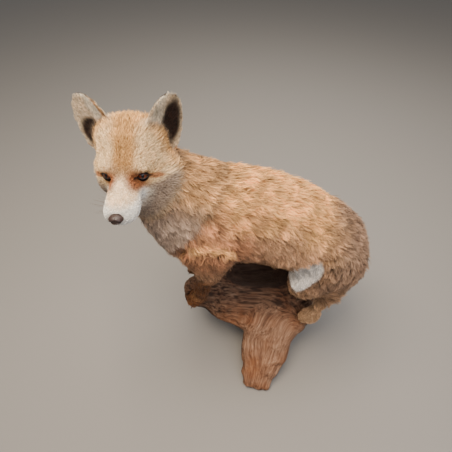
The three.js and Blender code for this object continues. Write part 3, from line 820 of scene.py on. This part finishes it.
def growCoat(name, wanted, seed, share=1.0, clumpEvery=34):
    chance = np.random.default_rng(seed)
    weight = share * triangleArea * wanted * hairThick[triangles].mean(1) * (triangleGap > 5)
    count = int(min(coatSettings["limit"], weight.sum()))
    pick = chance.choice(len(triangles), count, p=weight / weight.sum())
    p, q = chance.random(count), chance.random(count)
    over = p + q > 1
    p[over], q[over] = 1 - p[over], 1 - q[over]
    mix = np.stack([1 - p - q, p, q], 1)

    def blended(values):
        return (values[triangles[pick]] * (mix[:, :, None] if values.ndim == 2 else mix)).sum(1)

    root = blended(skinPoints)
    normal = unit(blended(skinNormals))
    limbOf = triangleLimb[pick]
    lie = onSkin(blended(flow), normal)
    length = blended(hairLength) * mm * chance.uniform(0.72, 1.25, count)
    width = blended(hairWidth) * mm * chance.uniform(0.7, 1.3, count)
    lift = np.radians(blended(hairLift) * chance.uniform(0.6, 1.4, count))
    lift *= np.where(chance.random(count) < 0.06, 1.8, 1.0)
    loose = smooth(5, 26, length / mm)  # long hair is scruffy, short hair is neat

    side = np.cross(normal, lie)
    turn = ((0.34 * loose + 0.05) * waves(root, 0.055, 41) + 0.36 * loose * waves(root, 0.021, 43)
            + chance.normal(0, 0.06 + 0.06 * loose))
    lie = unit(lie * np.cos(turn)[:, None] + side * np.sin(turn)[:, None])
    side = np.cross(normal, lie)

    # each tuft leans to the nearest wisp and each wisp to a lock, so that the hair parts
    def nearest(every):
        middle = np.arange(0, count, every)
        tree = KDTree(len(middle))
        for i, m in enumerate(middle):
            tree.insert(root[m], i)
        tree.balance()
        return middle[[tree.find(p)[1] for p in root]]

    lock, wisp = nearest(clumpEvery), nearest(max(4, clumpEvery // 5))
    sway = chance.normal(0, 0.34, count) * loose
    lockLie = unit(lie + side * sway[:, None])
    lockLength = length * chance.uniform(0.9, 1.2, count)
    wave = chance.uniform(0, 2 * math.pi, count) * 0.5 + 3 * waves(root, 0.03, 47)
    wave = wave[wisp][:, None]

    ribs = coatSettings["ribs"]
    steps = np.diff(ribs, prepend=0.0)
    angle = lift[:, None] * (1.45 - 1.15 * ribs)
    rise = np.cumsum(steps * np.sin(angle), 1) * length[:, None]
    run = np.cumsum(steps * np.cos(angle), 1) * length[:, None]
    curl = (0.13 * loose * length)[:, None] * (np.sin(ribs * 4.6 + wave) - np.sin(wave))
    path = (root[:, None] + lie[:, None] * run[:, :, None] + normal[:, None] * rise[:, :, None]
            + side[:, None] * curl[:, :, None])
    ends = root + lockLie * (lockLength * 0.95)[:, None] + normal * (np.sin(lift) * lockLength * 0.8)[:, None]
    lean = 0.5 * ends[wisp] + 0.5 * ends[lock] - path[:, -1]
    pull = coatSettings["clumpPull"] * loose * (norm(lean, axis=1) < 1.1 * length)
    path += pull[:, None, None] * (ribs ** 1.5)[:, None] * lean[:, None]
    path[:, 0] -= normal * (coatSettings["sink"] * mm * smooth(4, 20, length / mm))[:, None]

    roll = chance.normal(0, coatSettings["roll"], count)
    flat = side * np.cos(roll)[:, None] + normal * np.sin(roll)[:, None]
    half = flat[:, None] * (width[:, None] * coatSettings["ribWidths"] / 2)[:, :, None]
    points = np.empty((count, 7, 3))
    points[:, 0:6:2] = path[:, :3] - half
    points[:, 1:6:2] = path[:, :3] + half
    points[:, 6] = path[:, 3]

    tone = 1 + 0.10 * chance.normal(0, 1, count) + (0.08 + 0.22 * loose) * chance.normal(0, 1, count)[lock]
    tone += 0.08 * loose * chance.normal(0, 1, count)[wisp]
    pair = markings(root, normal, blended(limbShare)) * np.clip(tone, 0.6, 1.4)[:, None, None]
    blend, shade = (np.repeat(coatSettings[key], 2)[:7, None] for key in ("tipBlend", "ribPaintedShade"))
    colours = (pair[:, None, 0] * (1 - blend) + pair[:, None, 1] * blend) * shade

    faces = np.array([[0, 1, 3], [0, 3, 2], [2, 3, 5], [2, 5, 4], [4, 5, 6]])
    index = (faces + 7 * np.arange(count)[:, None, None]).reshape(-1, 3)
    mesh = bpy.data.meshes.new(name)
    mesh.vertices.add(count * 7)
    setArray(mesh.vertices, "co", points)
    mesh.loops.add(len(index) * 3)
    setArray(mesh.loops, "vertex_index", index, np.int32)
    mesh.polygons.add(len(index))
    setArray(mesh.polygons, "loop_start", np.arange(len(index)) * 3, np.int32)
    mesh.update(calc_edges=True)
    colourLayer(mesh, colours.reshape(-1, 3))
    around, along = unrolled(root, normal, limbOf)
    patch = 0.0015 * np.array([[-1, -1], [1, -1], [-1, -0.2], [1, -0.2], [-1, 0.5], [1, 0.5], [0, 1]])
    places = np.clip(tilePlace(around, along, limbOf)[:, None] + patch, 0.001, 0.999).reshape(-1, 2)
    setArray(mesh.uv_layers.new(name="OFBake").data, "uv", places[index.ravel()])
    print(name, count, "tufts of", round(float(weight.sum())))
    newPiece(name, mesh, fur)


aheadOfEyes = headPlace(triangleSpot)[:, 1]
spotX, spotY, _ = bodyPlace(triangleSpot).T
isLimb = {n: triangleLimb == i for i, n in enumerate(limbNames)}


def anyOf(*starts):
    return sum(isLimb[n] for n in limbNames if n.startswith(starts)) > 0


rear = spotY > 85
behindMiddle = spotY > -28
leftSide = anyOf("trunk") & ~rear & (spotX > -14)
growCoat("coatFace", anyOf("head") & (aheadOfEyes > -34), 101, 1.0, 9)
growCoat("coatCrown", anyOf("head", "ear") & ~(anyOf("head") & (aheadOfEyes > -34)), 102, 1.0, 12)
growCoat("coatNeck", anyOf("neck"), 103)
growCoat("coatLeftShoulder", leftSide & ~behindMiddle, 104)
growCoat("coatLeftFlank", leftSide & behindMiddle, 105)
growCoat("coatRightSide", anyOf("trunk") & ~rear & (spotX <= -14), 106, 0.6)
growCoat("coatRump", anyOf("trunk") & rear, 107, 0.9)
growCoat("coatTail", anyOf("tail"), 108)
growCoat("coatForelegs", anyOf("fore", "paw"), 109, 0.75)
growCoat("coatHindlegs", anyOf("hind"), 110, 0.7)
print("coat grown")

# ---- eyes: painted glass, a dark slit pupil in a brown iris

eyeSettings = {"pupilWide": 2.2, "pupilTall": 4.2, "cornea": 0.7}


def makeEyeGlass(side):
    material, tree = newMaterial("paintedGlass" + side.capitalize())
    local = vectorMath(tree, "SUBTRACT", placeOf(tree), tuple(eyeCentre[side]))
    across, height = (vectorMath(tree, "DOT_PRODUCT", local, tuple(axis / mm)) for axis in eyeAxes[side][1:])
    flat = addNode(tree, "CombineXYZ", None, {0: across, 1: height})
    share = addNode(tree, "Math", {"operation": "DIVIDE", 1: eyeRadius / mm}, {0: vectorMath(tree, "LENGTH", flat)})
    iris = rampOf(tree, share, [(0.0, "#4e2212"), (0.42, "#74361b"), (0.62, "#552412"), (0.74, "#1c0c07"),
                                (1.0, "#2a1a14")])
    slit = vectorMath(tree, "MULTIPLY", flat, (1 / eyeSettings["pupilWide"], 1 / eyeSettings["pupilTall"], 0))
    pupil = addNode(tree, "MapRange", {1: 0.85, 2: 1.15}, {0: vectorMath(tree, "LENGTH", slit)})
    return finished(material, {"Roughness": 0.14, "IOR": 1.45, "Coat Weight": 0.6, "Coat Roughness": 0.08},
                    {"Base Color": mixed(tree, pupil, "#080403", iris)})


def makeEye(side):
    out, inner, _ = eyeAxes[side]
    ball = bmesh.new()
    bmesh.ops.create_uvsphere(ball, u_segments=40, v_segments=28, radius=eyeRadius)
    for vert in ball.verts:  # the cornea stands a little proud of the ball
        tall = vert.co.z / eyeRadius
        vert.co *= 1 + eyeSettings["cornea"] * mm / eyeRadius * float(smooth(0.62, 0.95, tall))
    name = "eye" + side.capitalize()
    mesh = placedMesh(ball, name, (inner, np.cross(out, inner), out), eyeCentre[side])
    newPiece(name, mesh, makeEyeGlass(side), ["eye_" + side])


rimSettings = {"radius": 1.0, "steps": 40, "proud": 0.55}


def makeRim(side):
    out, inner, up = eyeAxes[side]
    curve = newCurve("lidRim", rimSettings["radius"], 2)
    spots = []
    for t in np.arange(rimSettings["steps"]) * 2 * math.pi / rimSettings["steps"]:
        tall = lidSettings["top" if math.sin(t) > 0 else "bottom"]
        a = math.radians(lidSettings["half"] * math.cos(t))
        b = math.radians(math.copysign(tall * (1 - abs(math.cos(t)) ** lidSettings["bow"]), math.sin(t)))
        way = (out * math.cos(a) + inner * math.sin(a)) * math.cos(b) + up * math.sin(b)
        spots.append(eyeCentre[side] + way * (eyeRadius + rimSettings["proud"] * mm))
    addStrand(curve, spots, closed=True)
    newPiece("lidRim" + side.capitalize(), evaluatedMesh(newObject("lidRim", curve)), rimLeather)


# eyelid edge: near black, moist
rimLeather = twoTone("lidLeather", 900.0, 2.0, 0.4, "#160d0a", "#2c1c15")
for side in eyeCentre:
    makeEye(side)
    makeRim(side)

# ---- nose: pebbled leather with two comma nostrils

noseSettings = {"size": (11.2, 9.5, 7.6), "pebble": 0.9}


def makeNoseLeather():  # leather in small pebbles: dark, a little moist
    material, tree = newMaterial("noseLeather")
    pebble = addNode(tree, "TexVoronoi", {"Scale": 1000 / noseSettings["pebble"] / 1.6},
                     {"Vector": placeOf(tree)}).outputs["Distance"]
    bump = addNode(tree, "Bump", {"Strength": 0.6, "Distance": 0.0004, "invert": True}, {"Height": pebble})
    return finished(material, {"Roughness": 0.42},
                    {"Base Color": mixed(tree, pebble, "#4a3730", "#241713"), "Normal": bump})


def makeNose():
    pad = bmesh.new()
    bmesh.ops.create_icosphere(pad, subdivisions=5, radius=1.0)
    wide, deep, tall = noseSettings["size"]
    for vert in pad.verts:
        l, f, u = vert.co
        wing = abs(l)
        # flat front, a groove down the middle and a comma nostril on each side
        f = min(f, 0.82 + 0.1 * (f - 0.82))
        groove = math.exp(-(l / 0.10) ** 2) * max(0.0, f) * (0.16 if u < 0.35 else 0.05)
        hole = math.exp(-(((wing - 0.50) / 0.20) ** 2 + ((u + 0.12 + 0.5 * (wing - 0.5)) / 0.17) ** 2))
        slot = math.exp(-(((wing - 0.86) / 0.22) ** 2 + ((u + 0.34) / 0.10) ** 2))
        if f > -0.2:
            f -= groove + 0.55 * hole + 0.30 * slot
        taper = 1 - 0.28 * max(0.0, -u)
        vert.co = Vector((l * wide * taper, f * deep, u * tall))
    mesh = placedMesh(pad, "nose", (headLeft, headForward, headUp), centreOf("nose"), mm)
    newPiece("nose", mesh, makeNoseLeather(), ["nose"])


makeNose()

# ---- claws: the frame's own cones, rounded and drawn down at the tip

clawSettings = {"reach": 13, "drop": 3.0}


def roundedClaw(node):
    claw = mergedCopy(node)
    bmesh.ops.subdivide_edges(claw, edges=claw.edges, cuts=3, use_grid_fill=True)
    middle = sum((v.co for v in claw.verts), Vector()) / len(claw.verts)
    far = max(claw.verts, key=lambda v: (v.co - middle).length).co.copy()
    way = (far - middle).normalized()
    for vert in claw.verts:
        t = (vert.co - middle).dot(way) / (clawSettings["reach"] * mm)
        vert.co.z -= max(0.0, t + 0.2) ** 2 * clawSettings["drop"] * mm
    bmesh.ops.smooth_vert(claw, verts=claw.verts, factor=0.5, use_axis_x=True, use_axis_y=True, use_axis_z=True)
    return claw


# keratin: dark, semi-gloss, mottled
horn = twoTone("clawHorn", 260.0, 3.0, 0.35, "#3a2c22", "#7a6450")
clawNodes = [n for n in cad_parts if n.startswith("claw_")]
newPiece("claws", joined([roundedClaw(n) for n in clawNodes], "claws"), horn, clawNodes)
print("eyes, nose and claws made")

# ---- whiskers: stiff dark hairs from the sides of the muzzle

whiskerSettings = {"radius": 0.24, "rows": 3, "inRow": 4, "length": (26, 46), "knots": 8}


def makeWhiskers():
    curve = newCurve("whiskers", whiskerSettings["radius"], 1)
    chance = np.random.default_rng(61)
    t = np.linspace(0, 1, whiskerSettings["knots"])[:, None]
    for _, k in sides:
        for row in range(whiskerSettings["rows"]):
            for i in range(whiskerSettings["inRow"]):
                start = headSpot(k * (15 + 1.0 * i), 56 - 8 * i, -16 - 5 * row)
                way = unit(k * headLeft * 0.95 - headForward * (0.15 + 0.16 * i) + headUp * (0.12 - 0.22 * row)
                           + 0.12 * chance.normal(size=3))
                length = chance.uniform(*whiskerSettings["length"]) * mm
                sag = headUp * 0.22 + headForward * 0.25
                addStrand(curve, start + (way * t - sag * t * t) * length, 1.0 - 0.8 * t[:, 0])
    newPiece("whiskers", evaluatedMesh(newObject("whiskers", curve)), horn)


makeWhiskers()

# ---- driftwood

woodSettings = {"voxel": 2.9, "settle": 10, "ridge": 1.7, "crack": 3.0, "lump": 2.4, "lumpSize": 26, "splinter": 4.2,
                "notch": 4.0}
woodLines = [
    bodyLine((-2, -190, 158), (0, -90, 130), (12, 40, 112), (10, 130, 126)),
    bodyLine((52, 10, 106), (112, -20, 62), (190, -36, 4)),
    bodyLine((60, 50, 106), (120, 36, 60), (192, 8, 6)),
    bodyLine((-60, -110, 120), (-104, -140, 46), (-132, -160, -4)),
    bodyLine((-60, 90, 110), (-112, 128, 46), (-138, 146, -4)),
    bodyLine((-104, -76, 128), (-112, 80, 128)),
]


def grainPlace(points):  # along the nearest lines of growth, and across them
    total = np.zeros((len(points), 3))
    amount = np.zeros((len(points), 1))
    for line in woodLines:
        for start, _, way, along, _, d in besideLine(line, points):
            weight = 1 / np.maximum(d, 0.004)[:, None] ** 5
            first = unit(np.cross(way, [0.1, 0.3, 1.0]))
            total += np.stack([start + along, points @ first, points @ np.cross(way, first)], 1) * weight
            amount += weight
    return total / amount


woodMesh = remeshed(joined([mergedCopy("driftwood")], "driftwood"), woodSettings["voxel"])
keepLargest(woodMesh)
woodPoints = verticesOf(woodMesh)
flatFoot = woodPoints[:, 2] < 1.2 * mm
woodPoints = Neighbours(woodMesh).relaxed(woodPoints, 0.5, woodSettings["settle"])
setVertices(woodMesh, woodPoints)
grain = grainPlace(woodPoints) / mm
normals = normalsOf(woodMesh)


def roughness(points, size, shift=0):
    return np.array([noise.noise(Vector(p)) for p in points / size + np.array([shift, 0, 0])])


# each kind of roughness has a length along the grain and one across it, in mm
ridges = roughness(grain, (70, 7, 7))
fine = roughness(grain, (38, 3.2, 3.2), 9)
crackLine = np.exp(-(roughness(grain, (90, 13, 13), 31) / 0.04) ** 2)
splinters = np.maximum(0, roughness(grain, (24, 5, 5), 17))
lumps = roughness(woodPoints, woodSettings["lumpSize"] * mm)
woodX, woodY = bodyPlace(woodPoints)[:, :2].T
saddle = smooth(88, 24, woodX + 16 * lumps)
notch = np.exp(-((woodY - 6 + 0.3 * (woodX - 190)) / 4.5) ** 2) * smooth(168, 190, woodX)
change = (woodSettings["ridge"] * ridges + (0.8 + 0.8 * saddle) * fine - woodSettings["crack"] * crackLine
          + woodSettings["lump"] * lumps - woodSettings["splinter"] * saddle * splinters
          - woodSettings["notch"] * notch - 0.3)
woodPoints += normals * (change * mm)[:, None]
woodPoints[:, 2] = np.where(flatFoot, 0.0, np.maximum(woodPoints[:, 2], 0.2 * mm))
setVertices(woodMesh, woodPoints)
# painted shade in the wood's colour: near black in the hollow under the belly, darker on faces turned down and on the
# saddle under the body, deeper in its splinter grooves; the wood is also darker along the cracks
hollow = norm((bodyPlace(woodPoints) - (-62, 4, 168)) / (46, 96, 44), axis=1)
paintedShadeAndCracks = np.clip(smooth(1.3, 0.7, hollow) + 0.7 * smooth(0.2, -0.5, normals[:, 2])
                   + (0.15 + 0.45 * saddle) * crackLine + saddle * (0.5 + 0.9 * splinters), 0, 0.9)
setArray(woodMesh.attributes.new("grain", "FLOAT_VECTOR", "POINT").data, "vector", grain * mm)
setArray(woodMesh.attributes.new("dark", "FLOAT", "POINT").data, "value", paintedShadeAndCracks)


def makeDriftwood():  # bare weathered wood: matt, fibrous, brown where it is worn; painted shade makes it near black in the hollow under the belly and darker under the body and on faces turned down, and it is darker along the cracks
    material, tree = newMaterial("weatheredWood")
    grainAt = addNode(tree, "Attribute", {"attribute_name": "grain"}).outputs["Vector"]
    # the dark attribute holds the painted shade and the darkening along the cracks
    shadeAndCrackShare = addNode(tree, "Attribute", {"attribute_name": "dark"}).outputs["Fac"]

    def stretched(along, across, settings):
        place = vectorMath(tree, "MULTIPLY", grainAt, (along, across, across))
        return noiseOf(tree, {"Scale": 1.0, **settings}, place)

    fibre = stretched(14.0, 190.0, {"Detail": 5.0, "Roughness": 0.6, "Distortion": 0.2})
    thread = stretched(60.0, 700.0, {"Detail": 3.0})
    stain = noiseOf(tree, {"Scale": 17.0, "Detail": 4.0}, placeOf(tree))
    strands = addNode(tree, "Mix", {"data_type": "FLOAT", 0: 0.3}, {2: fibre, 3: thread})
    bare = rampOf(tree, strands, [(0.30, "#553a29"), (0.44, "#805c45"), (0.54, "#9c765b"), (0.70, "#bd9a7c")])
    patch = addNode(tree, "MapRange", {1: 0.4, 2: 0.7}, {0: stain})
    warm = mixed(tree, patch, bare, "#dbb898", {"blend_type": "MULTIPLY"})
    high = addNode(tree, "Math", {"operation": "ADD"}, {0: fibre, 1: thread})
    return finished(material, {"Roughness": 0.82, "Specular IOR Level": 0.25},
                    {"Base Color": mixed(tree, shadeAndCrackShare, warm, "#21150f"), "Normal": bumpOf(tree, high, 0.6, 0.0013)})


newPiece("driftwood", woodMesh, makeDriftwood(), ["driftwood"])
print("driftwood made")

# ---- floor and light

slab = bmesh.new()
bmesh.ops.create_grid(slab, x_segments=1, y_segments=1, size=6.0)
floorMesh = meshOf(slab, "floor")
floorLook = {"Base Color": rgba("#8f8981"), "Roughness": 0.7}
floorMesh.materials.append(finished(newMaterial("paleFloor")[0], floorLook, {}))
newObject("floor", floorMesh)

lights = [
    # place in mm, size in m, watts, colour
    ((160, -400, 1980), 1.1, 53, "#fff0dc"),
    ((1000, 500, 1500), 1.4, 15, "#f4f5ff"),
    ((-900, 300, 1700), 1.6, 20, "#ffffff"),
]
for place, size, power, colour in lights:
    data = bpy.data.lights.new("softbox", "AREA")
    data.shape = "SQUARE"
    data.size, data.energy, data.color = size, power, tuple(linearOf(colour))
    lamp = newObject("softbox", data)
    lamp.location = bodySpot(*place)
    lamp.rotation_euler = (Vector((0, 0, 0.35)) - lamp.location).to_track_quat("-Z", "Y").to_euler()

world = bpy.data.worlds.new("room")
world.use_nodes = True
background = world.node_tree.nodes["Background"]
background.inputs[0].default_value = rgba("#dfe3ea")
background.inputs[1].default_value = 0.34
bpy.context.scene.world = world
